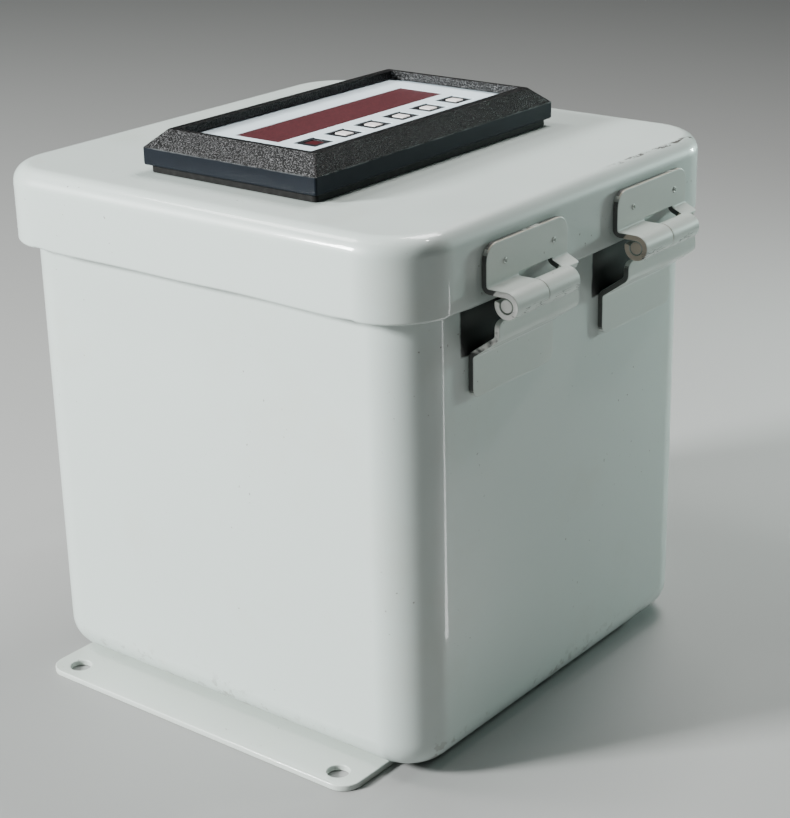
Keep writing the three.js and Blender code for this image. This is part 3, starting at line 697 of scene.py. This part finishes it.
GLAND_Z = middle("gland_cap").z
entry = moved(placed(turned([(0, -8), (10.1, -8), (10.1, 8), (0, 8)], 0.01), to_y),
              y=body_high.y, z=GLAND_Z)
stand_in("body_shell", box_shell(), BODY_PAINT, cuts=[entry])

STUD_R, STUD_TOP = 2.5, 29.0
for i in range(1, 5):
    nut = middle(f"panel_nut_{i}")
    outline = [(0, body_low.z + 1), (STUD_R, body_low.z + 1),
               *threaded(STUD_R, 14, STUD_TOP - 0.6, 0.8, 0.28), (STUD_R - 0.6, STUD_TOP), (0, STUD_TOP)]
    piece(f"weld_stud_{i}", moved(turned(outline, 0.05, 32), nut.x, nut.y), STEEL,
          BODY_OF["body_shell"])

FOOT_CORNER, FOOT_HOLE_R, FOOT_HOLE_PITCH, FOOT_HOLE_X = 8.0, 4.25, 138.0, 102.3


def foot(node):
    low, high = span(node)
    centre = (low + high) / 2
    outline = ring(high.x - low.x, high.y - low.y, FOOT_CORNER, 0, 10, 1, centre.x, centre.y)
    hole_x = math.copysign(FOOT_HOLE_X, centre.x)
    holes = [circle(FOOT_HOLE_R, 40, hole_x, centre.y + end * FOOT_HOLE_PITCH / 2) for end in (-1, 1)]
    return plate(outline, low.z, high.z, holes, edge=0.5)


for side in ("left", "right"):
    stand_in(f"mounting_foot_{side}", foot(f"mounting_foot_{side}"), PART_PAINT)


# ---------------------------------------------------------------- lid
lid_low, lid_high = span("lid_shell")
lid_size = lid_high - lid_low
METER = middle("bezel")
CUT_W, CUT_L = 133.0, 69.0       # the meter's cut-out in the lid


def ragged_rim(p):
    """The flange's lower edge is a little uneven, as drawing leaves it."""
    low = max(0, 1 - (p.z - lid_low.z) / 8)
    turn = math.atan2(p.y, p.x)
    wave = 0.30 * math.sin(4 * turn + 0.6) + 0.16 * math.sin(11 * turn + 1.9)
    corner = min(abs(abs(p.x) - (lid_high.x - LID_CORNER)), abs(abs(p.y) - (lid_high.y - LID_CORNER)))
    kink = 0.5 * math.exp(-(corner / 2.2) ** 2)
    return Vector((p.x, p.y, p.z + low * (wave + kink)))


def lid_shell():
    w, l = lid_size.x, lid_size.y
    rim, top = lid_low.z, lid_high.z

    def level(inward, z):
        return ring(w - 2 * inward, l - 2 * inward, LID_CORNER - inward, z, 16, 16)

    def opening(grow, z):
        return ring(CUT_W + 2 * grow, CUT_L + 2 * grow, 2, z, 16, 16, METER.x, METER.y)

    lower, upper = rim + 1, top - LID_EDGE
    walls = [lower + (upper - lower) * i / 10 for i in range(11)]
    rings = [level(SHEET / 2 * (1 - math.cos(a)), rim + 1 - math.sin(a))
             for a in (math.radians(22.5 * k) for k in range(7, 0, -1))]
    rings += [level(0, z) for z in walls]
    rings += [level(LID_EDGE * (1 - math.cos(a)), upper + LID_EDGE * math.sin(a)) for a in quarter()]
    outer, inner = rings[-1], opening(0.3, top)
    rings += [[p.lerp(q, t / 8) for p, q in zip(outer, inner)] for t in range(1, 9)]
    rings += [opening(0, top - 0.3), opening(0, top - SHEET)]
    bend = LID_EDGE - SHEET
    under = [level(SHEET + bend * (1 - math.cos(a)), upper + bend * math.sin(a)) for a in quarter()]
    rings += [[p.lerp(q, t / 8) for p, q in zip(rings[-1], under[-1])] for t in range(1, 8)]
    rings += list(reversed(under))
    rings += [level(SHEET, z) for z in reversed(walls)]
    return placed(skin(rings, closed=True), ragged_rim)


stand_in("lid_shell", lid_shell(), LID_PAINT)


# ---------------------------------------------------------------- hinges
LEAF_T, LEAF_W, KNUCKLE = 2.2, 50.0, 19.2
PIN_R, ROLL = 2.5, 3.85          # ROLL is to the middle of the rolled sheet
HINGE_AXIS = HINGE / MM
LID_LEAF_U, BODY_LEAF_U = -9.1, -14.9   # middles of the flat leaves, outwards from the pin
LEAF_TOP, LEAF_LOW = 20.0, -36.6


def about_pin(left, path):
    """Carries a leaf's blank along a path drawn about the pin, outwards and up."""
    def place(across, along, height):
        u, v, a = path(across, along)
        return (left + across, HINGE_AXIS.y - u + math.sin(a) * height,
                HINGE_AXIS.z + v + math.cos(a) * height)
    return place


def lid_leaf(left):
    bend = 1.9                   # radius of the first bend
    down, quarter_turn = LEAF_TOP - bend - ROLL, bend * math.pi / 2
    flat = -LID_LEAF_U - bend
    roll = ROLL * math.radians(285)
    rolled = route((LID_LEAF_U, LEAF_TOP), -90,
                   [(down, 0), (quarter_turn, 90), (flat, 0), (roll, -285)])
    notch = LEAF_TOP - ROLL - LEAF_T / 2 - 1
    ear_bend = bend * math.radians(66)
    ear = route((LID_LEAF_U, LEAF_TOP), -90, [(notch, 0), (ear_bend, 66), (6, 0)])
    ear_end, roll_start = notch + ear_bend + 5.4, down + quarter_turn + flat
    ear_x = 2 * KNUCKLE + 1.6
    outline = [*arc((6, 6), 6, 180, 270, 8), *arc((LEAF_W - 6, 6), 6, 270, 360, 8),
               *arc((LEAF_W - 1.5, ear_end - 1.5), 1.5, 0, 90, 4),
               Vector((ear_x, ear_end, 0)), Vector((ear_x, notch, 0)),
               Vector((KNUCKLE, notch, 0)), Vector((KNUCKLE, roll_start + roll, 0)),
               Vector((0, roll_start + roll, 0))]
    curves = [(notch, down + quarter_turn), (roll_start, roll_start + roll)]
    return bent(outline, LEAF_T, curves, about_pin(left, lambda x, s: (rolled if x < 30 else ear)(s)))


def body_leaf(left):
    bend, tilt = 2.5, 54
    half = bend * math.tan(math.radians(tilt / 2))
    crease = 16.0
    out = -ROLL - BODY_LEAF_U
    slope = out / math.sin(math.radians(tilt))
    rise = out / math.tan(math.radians(tilt))
    turn = bend * math.radians(tilt)
    riser = -LEAF_LOW - crease - rise - half
    roll = ROLL * math.radians(292)
    runs = [(crease - half, 0), (turn, -tilt), (slope - 2 * half, 0), (turn, tilt), (riser, 0),
            (roll, -292)]
    path = route((BODY_LEAF_U, LEAF_LOW), 90, runs)
    ends = [sum(length for length, _ in runs[:k]) for k in range(len(runs) + 1)]
    top = ends[5] - ROLL - LEAF_T
    first, last = KNUCKLE + 0.3, 2 * KNUCKLE + 0.3
    outline = [*arc((4, 4), 4, 180, 270, 6), *arc((LEAF_W - 4, 4), 4, 270, 360, 6),
               *arc((LEAF_W - 3, top - 3), 3, 0, 90, 6), Vector((last, top, 0)),
               Vector((last, ends[6], 0)), Vector((first, ends[6], 0)), Vector((first, top, 0)),
               *arc((3, top - 3), 3, 90, 180, 6)]
    curves = [(ends[1], ends[2]), (ends[3], ends[4]), (ends[5], ends[6])]
    return bent(outline, LEAF_T, curves, about_pin(left, lambda x, s: path(s)))


def weld_mark(x, u, v):
    """A spot weld's small crater on a leaf's face."""
    crater = turned([(0, -0.05), (0.4, 0.0), (0.8, 0.42), (1.4, -0.1), (0, -0.1)], 0.2, 20)
    return placed(crater, lambda p: (x + p.x, HINGE_AXIS.y - u - p.z, HINGE_AXIS.z + v + p.y))


for n in (1, 2):
    left = span(f"lid_leaf_{n}")[0].x
    stand_in(f"lid_leaf_{n}", lid_leaf(left), LEAF_PAINT)
    stand_in(f"body_leaf_{n}", body_leaf(left), LEAF_PAINT)
    pin_low, pin_high = span(f"hinge_pin_{n}")
    pin = turned([(0, pin_low.x), (PIN_R, pin_low.x), (PIN_R, pin_high.x), (0, pin_high.x)], 0.5, 48)
    stand_in(f"hinge_pin_{n}", placed(pin, lambda v: (v.z, HINGE_AXIS.y + v.x, HINGE_AXIS.z + v.y)),
             LEAF_PAINT)
    marks = [weld_mark(left + x, LID_LEAF_U + LEAF_T / 2, 12.3) for x in (11, 41)]
    piece(f"weld_marks_{n}", merged(*marks), PART_PAINT, BODY_OF[f"lid_leaf_{n}"])


# ---------------------------------------------------------------- lid clamps
WALL_Y = body_high.y + 0.3       # fittings sit on the wall's paint


def upright(x0, path):
    """Carries a blank along a path drawn in Y and Z."""
    def place(across, along, height):
        y, z, a = path(along)
        return x0 + across, y - math.sin(a) * height, z + math.cos(a) * height
    return place


def clamp_arm(node):
    low, high = span(node)
    x0, half, t, bend = (low.x + high.x) / 2, (high.x - low.x) / 2, 2.5, 2.0
    pivot_z, straight = high.z - half, high.z - low.z - t / 2 - bend
    outer_y = high.y - t / 2
    curl = bend * math.pi / 2
    lip = outer_y - bend - low.y
    path = route((outer_y, high.z), -90, [(straight, 0), (curl, -90), (lip, 0)])
    length = straight + curl + lip
    outline = [*arc((0, half), half, 180, 360, 24),
               *arc((half - 1.5, length - 1.5), 1.5, 0, 90, 4),
               *arc((1.5 - half, length - 1.5), 1.5, 90, 180, 4)]
    hole = circle(3.3, 32, 0, high.z - pivot_z)
    return bent(outline, t, [(straight, straight + curl)], upright(x0, path), [hole])


def clamp_screw(node):
    low, high = span(node)
    centre = (low + high) / 2
    seat = high.y - 5.2
    shank = turned([(0, low.y), *threaded(3, low.y + 0.8, seat - 1, 1, 0.35), (3, seat + 1),
                    (0, seat + 1)], 0.05, 32)
    washer = turned([(0, seat), (6.2, seat), (6.2, seat + 1.2), (0, seat + 1.2)], 0.3)
    flat = 5.4 * math.cos(math.pi / 6)
    head = skin([circle(0.05, z=seat + 1), hexagon(5.4, seat + 1.05), hexagon(5.4, seat + 4.6),
                 circle(flat * 0.95, z=seat + 5.2), circle(0.05, z=seat + 5.2)], capped=True)
    shapes = [moved(placed(s, to_y), centre.x, 0, centre.z) for s in (shank, washer, head)]
    slot = block(1.4, 2, 20, centre.x, seat + 5.2, centre.z - 10, 0.05)
    return merged(*shapes), [slot]


def keeper(node):
    low, high = span(node)
    t, bend = 2.0, 2.2
    up = high.z - low.z - t / 2 - bend
    curl = bend * math.pi / 2
    out = high.y - low.y - t / 2 - bend
    path = route((low.y + t / 2, low.z), 90, [(up, 0), (curl, -90), (out, 0)])
    length, half = up + curl + out, (high.x - low.x) / 2
    outline = [*arc((2 - half, 2), 2, 180, 270, 5), *arc((half - 2, 2), 2, 270, 360, 5),
               *arc((half - 1, length - 1), 1, 0, 90, 4), *arc((1 - half, length - 1), 1, 90, 180, 4)]
    return bent(outline, t, [(up, up + curl)], upright((low.x + high.x) / 2, path))


for n in (1, 2):
    stand_in(f"clamp_arm_{n}", clamp_arm(f"clamp_arm_{n}"), STEEL)
    low, high = span(f"clamp_block_{n}")
    pad = plate(ring(high.x - low.x, high.z - low.z, 3, 0, 8, 1), low.y, high.y, [circle(3.3, 32)], 0.6)
    centre = (low + high) / 2
    stand_in(f"clamp_block_{n}", moved(placed(pad, to_y), centre.x, 0, centre.z), PART_PAINT)
    screw, slots = clamp_screw(f"clamp_screw_{n}")
    stand_in(f"clamp_screw_{n}", screw, STEEL, cuts=slots)
    stand_in(f"keeper_{n}", keeper(f"keeper_{n}"), PART_PAINT)


# ---------------------------------------------------------------- cable gland
def at_gland(shape):
    return moved(placed(shape, to_y), z=GLAND_Z)


def gland_body(node):
    low, high = span(node)
    thread_r, hex_r, hex_end = 9.8, 14, WALL_Y + 5
    chamfer_r = hex_r * math.cos(math.pi / 6) * 0.97
    rings = [circle(r, z=y) for r, y in threaded(thread_r, low.y + 0.5, WALL_Y - 0.5, 1.5, 0.5)]
    rings += [circle(thread_r, z=WALL_Y), circle(chamfer_r, z=WALL_Y), hexagon(hex_r, WALL_Y + 0.8),
              hexagon(hex_r, WALL_Y + 4.2), circle(chamfer_r, z=hex_end)]
    rings += [circle(r, z=y) for r, y in threaded(thread_r, hex_end, high.y - 0.4, 1.5, 0.5)]
    rings += [circle(9.2, z=high.y), circle(6.3, z=high.y), circle(6, z=high.y - 0.4),
              circle(6, z=low.y + 0.4), circle(6.3, z=low.y), circle(9.2, z=low.y)]
    return skin(rings, closed=True)


def gland_cap(node):
    low, high = span(node)
    hex_r, grip_end = 13.4, low.y + 8
    flat = hex_r * math.cos(math.pi / 6)
    dome = soft_corners([(12.2, grip_end), (12.2, high.y - 5), (11, high.y - 2.4), (8.4, high.y)],
                        2.2, 6, closed=False)
    rings = [circle(10.1, z=low.y), circle(flat * 0.96, z=low.y), hexagon(hex_r, low.y + 0.8),
             hexagon(hex_r, grip_end - 0.8), circle(flat * 0.99, z=grip_end)]
    rings += [circle(p.x, z=p.y) for p in dome]
    rings += [circle(5.6, z=high.y), circle(5.2, z=high.y - 0.5), circle(5.2, z=WALL_Y + 13.6),
              circle(10.1, z=WALL_Y + 11.4)]
    return skin(rings, closed=True)


NYLON = smooth_plastic("gland nylon", (0.022, 0.023, 0.025), 0.5)
stand_in("gland_body", at_gland(gland_body("gland_body")), NYLON)
stand_in("gland_cap", at_gland(gland_cap("gland_cap")), NYLON)
low, high = span("gland_seal")
seal = turned([(4.6, low.y), (5.15, low.y), (5.15, high.y), (4.6, high.y)], 0.2)
stand_in("gland_seal", at_gland(seal), RUBBER)
low, high = span("gland_locknut")
stand_in("gland_locknut", at_gland(hex_ring(low.y, high.y, 14, 10.1)), NYLON)


# ---------------------------------------------------------------- back panel
panel_low, panel_high = span("back_panel")
panel_size = panel_high - panel_low
nuts = [middle(f"panel_nut_{i}") for i in range(1, 5)]
stand_in("back_panel", plate(ring(panel_size.x, panel_size.y, 4, 0, 6, 1), panel_low.z, panel_high.z,
                             [circle(3, 24, p.x, p.y) for p in nuts], 0.3), PANEL_PAINT)
for i, p in enumerate(nuts, 1):
    low, high = span(f"panel_nut_{i}")
    stand_in(f"panel_nut_{i}", moved(hex_ring(low.z, high.z, 4.6, 2.8, 0.5), p.x, p.y), STEEL)
low, high = span("ground_screw")
x, y, _ = middle("ground_screw")
earth = turned([(0, low.z), (4.4, low.z), (4.4, low.z + 2.2), (3.4, high.z), (0, high.z)], 0.6)
stand_in("ground_screw", moved(earth, x, y), EARTH,
         cuts=[block(5, 1, 2, x, y, high.z - 1.2, 0.05), block(1, 5, 2, x, y, high.z - 1.2, 0.05)])


# ---------------------------------------------------------------- panel meter
bezel_low, bezel_high = span("bezel")
FACE_Z = span("face_plate")[1].z
OPEN_W, OPEN_L, SLOPE_X, SLOPE_Y = 128.3, 64.4, 7.6, 6.5


def meter_bezel():
    w, l = bezel_high.x - bezel_low.x, bezel_high.y - bezel_low.y
    low, top, skirt = bezel_low.z, bezel_high.z, bezel_low.z + BEZEL_SKIRT
    open_x, open_y = (w - OPEN_W) / 2, (l - OPEN_L) / 2
    back_x, back_y = (w - CUT_W - 0.4) / 2, (l - CUT_L - 0.4) / 2
    section = [(0.15, 0.15, low), (0, 0, low + 0.5), (0, 0, skirt), (SLOPE_X, SLOPE_Y, top),
               (open_x, open_y, top), (open_x, open_y, FACE_Z + 0.3), (back_x, back_y, FACE_Z + 0.3),
               (back_x, back_y, low)]
    return skin([ring(w - 2 * p.x, l - 2 * p.y, 0.9, p.z, 5, 8, METER.x, METER.y)
                 for p in soft_corners(section, 0.35, 3)], closed=True)


def flat_ring(node, holes=(), edge=0.15, corner=2.0, swell=0.0):
    """A flat piece of a CAD node's size, with holes. swell makes it thicker, up and down."""
    low, high = span(node)
    centre = (low + high) / 2
    outline = ring(high.x - low.x, high.y - low.y, corner, 0, 6, 1, centre.x, centre.y)
    return plate(outline, low.z - swell, high.z + swell, holes, edge)


def key_cap(node):
    """A key with a black rim just below the face and a white cap on top."""
    low, high = span(node)
    centre = (low + high) / 2
    w, l, top = high.x - low.x, high.y - low.y, FACE_Z + 0.1
    seat = top - 3.4             # where the stem meets the cap
    rings = [ring(3, 3, 0.3, low.z, 6, 4), ring(3, 3, 0.3, seat, 6, 4), ring(w, l, 1.4, seat, 6, 4)]
    pillow = [(0, 0.85), (0.1, 0.72), (0.3, 0.66), (0.62, 0.6), (0.66, 0.2), (0.74, 0.08), (0.95, 0.02),
              (1.3, 0)]
    rings += [ring(w - 2 * d, l - 2 * d, max(1.5 - d, 0.4), top - drop, 6, 4) for d, drop in pillow]
    return moved(skin(rings, capped=True), centre.x, centre.y)


PAD_W, PAD_L = 11.6, 10.6        # the key squares in the face
window_low, window_high = span("display_window")
window_mid = (window_low + window_high) / 2
squares = [middle("led_window"), *(middle(f"key_{i}") for i in range(1, 6))]
face_holes = [ring(PAD_W, PAD_L, 0.25, 0, 3, 1, p.x, p.y) for p in squares]
face_holes.append(ring(window_high.x - window_low.x + 0.3, window_high.y - window_low.y + 0.3, 0.25, 0,
                       3, 1, window_mid.x, window_mid.y))

stand_in("bezel", meter_bezel(), BEZEL_BLACK, smooth=50)
stand_in("bezel_gasket", flat_ring("bezel_gasket", [ring(CUT_W + 1, CUT_L + 1, 2, 0, 6, 1, METER.x,
                                                         METER.y)], 0.4, swell=0.28), RUBBER)
stand_in("face_plate", flat_ring("face_plate", face_holes, 0.12), FACE)
stand_in("display_window", flat_ring("display_window", edge=0.15, corner=0.25), WINDOW)
stand_in("led_window", flat_ring("led_window", edge=0.25, corner=0.5), LAMP_WINDOW)
for i in range(1, 6):
    stand_in(f"key_{i}", key_cap(f"key_{i}"), KEY_WHITE)

for side in ("left", "right"):
    low, high = span(f"jack_screw_{side}")
    centre = (low + high) / 2
    screw = turned([(0, low.z), (3.6, low.z), (3.6, low.z + 3), (1.8, low.z + 3.4),
                    *threaded(1.8, low.z + 4, high.z - 0.6, 0.7, 0.25), (1.2, high.z), (0, high.z)],
                   0.05)
    stand_in(f"jack_screw_{side}", moved(screw, centre.x, centre.y), STEEL,
             cuts=[block(8, 0.9, 2.4, centre.x, centre.y, low.z - 1.2, 0.05)])


# ---------------------------------------------------------------- CAD pieces kept as they are
def dressed(node, material, width):
    """A CAD node keeps its mesh, and gets a material and softened edges."""
    made = frame["nodes"][node]
    made.data.materials.clear()
    made.data.materials.append(material)
    weld = made.modifiers.new("weld", "WELD")
    weld.merge_threshold = 1e-6
    bevel = made.modifiers.new("edges", "BEVEL")
    bevel.width, bevel.segments, bevel.limit_method = width * MM, 2, "ANGLE"
    bevel.angle_limit = math.radians(35)


KEPT = {
    "lid_gasket": (RUBBER, 0.8), "key_surround": (KEY_BLACK, 0.12), "meter_case": (BLACK, 0.5),
    "rear_terminals": (CONNECTOR, 0.3), "terminal_strip": (BLACK, 0.3),
    "case_clamp_left": (STEEL, 0.3), "case_clamp_right": (STEEL, 0.3), "display_board": (BOARD, 0.1),
    "main_board": (BOARD, 0.1), "power_transformer": (IRON, 0.4), "status_led": (LED, 0.1),
    **{f"digit_module_{i}": (MODULE, 0.2) for i in range(1, 4)},
    **{f"switch_{i}": (BLACK, 0.2) for i in range(1, 6)},
}
for node, (material, width) in KEPT.items():
    dressed(node, material, width)


# ---------------------------------------------------------------- floor and light
def make_floor():
    half, steps = 6000.0, 12
    spots = [-half + 2 * half * i / steps for i in range(steps + 1)]
    verts = [Vector((x, y, 0)) for y in spots for x in spots]
    row = steps + 1
    faces = [(j * row + i, j * row + i + 1, (j + 1) * row + i + 1, (j + 1) * row + i)
             for j in range(steps) for i in range(steps)]
    floor = raw("floor", (verts, faces))
    floor.data.materials.append(pale_floor("pale floor"))


def area_lamp(name, size, power, color=(1.0, 1.0, 1.0)):
    data = bpy.data.lights.new(name, "AREA")
    data.shape = "RECTANGLE"
    data.size, data.size_y = size
    data.energy = power
    data.color = color
    light = bpy.data.objects.new(name, data)
    light.visible_camera = False
    bpy.context.scene.collection.objects.link(light)
    return light


def softbox(name, azimuth, elevation, distance, size, power, color):
    """An area light aimed at the box. Azimuth 0 stands on the -Y side, and 90 on the +X side."""
    light = area_lamp(name, size, power, color)
    a, e = math.radians(azimuth), math.radians(elevation)
    away = Vector((math.sin(a) * math.cos(e), -math.cos(a) * math.cos(e), math.sin(e)))
    light.location = Vector((0, 0, 0.12)) + away * distance
    light.rotation_mode = "QUATERNION"
    light.rotation_quaternion = away.to_track_quat("Z", "Y")


def corner_strip():
    """A faint strip lamp lying on the floor and facing up. It shows only in reflections, as the bright
    line down the box's near upright corner."""
    length, gap, heading = 0.5, 0.1, math.radians(-50)
    light = area_lamp("corner strip", (length, 0.02), 0.32)
    corner = Vector((-0.075, -0.095, 0.003))
    light.location = corner + Vector((math.cos(heading), math.sin(heading), 0)) * (gap + length / 2)
    light.rotation_euler = (math.pi, 0, heading)
    light.visible_diffuse = False


def make_world():
    world = bpy.data.worlds.new("studio")
    world.use_nodes = True
    sky = world.node_tree.nodes["Background"]
    sky.inputs["Color"].default_value = (0.80, 0.98, 0.96, 1)
    sky.inputs["Strength"].default_value = 0.03
    bpy.context.scene.world = world


make_floor()
make_world()
corner_strip()
softbox("key", -124, 23, 2.4, (0.4, 0.4), 162, (0.965, 1.0, 0.985))
softbox("back", -156, 52, 1.6, (0.4, 0.35), 9.5, (1.0, 0.995, 0.98))
softbox("right overhead", 88, 64, 0.85, (0.3, 0.3), 7.0, (1.0, 0.99, 0.97))
softbox("front fill", 66, 9, 0.66, (0.06, 0.06), 2.6, (0.76, 1.0, 0.93))
for azimuth, elevation, power in ((38, 62, 3), (-112, 73, 1.2), (-152, 56, 1.2)):
    softbox(f"lamp {azimuth}", azimuth, elevation, 1.6, (0.07, 0.05), power, (1.0, 0.99, 0.96))
